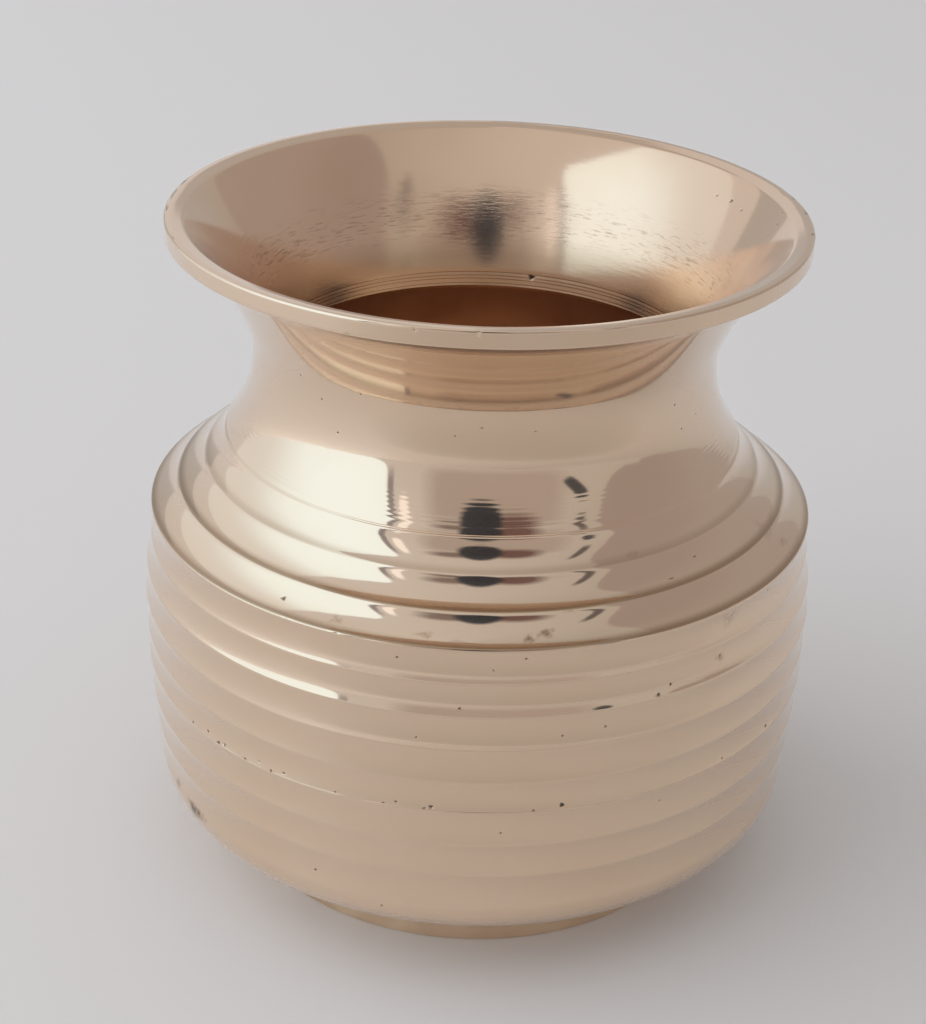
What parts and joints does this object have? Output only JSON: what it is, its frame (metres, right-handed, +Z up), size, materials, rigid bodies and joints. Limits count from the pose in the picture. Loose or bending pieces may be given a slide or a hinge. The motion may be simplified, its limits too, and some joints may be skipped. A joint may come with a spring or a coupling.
{
  "type": "water pot",
  "caption": "Footed brass kalash water pot with a trumpet mouth, a narrow throat and a belly turned into shallow fluted rings.",
  "frame": {"origin": "centre of the foot ring's underside, on the surface that the pot stands on", "axes": "+Z up along the pot's axis of revolution; X and Y are any two level directions, because the pot is round"},
  "size_m": [0.0988, 0.0988, 0.0981],
  "materials": {
    "turned_brass": "lathe-turned and buffed to a mirror outside and in the mouth, dull as cast inside the belly",
    "foot_brass": "turned, half bright, darkened by handling",
    "braze_metal": "brazing brass, turned flush with the wall"
  },
  "bodies": {
    "root": {"flared_mouth": "turned_brass", "neck_braze": "braze_metal", "shoulder": "turned_brass", "belly_braze": "braze_metal", "bowl": "turned_brass", "foot_braze": "braze_metal", "foot_ring": "foot_brass"}
  },
  "joints": []
}
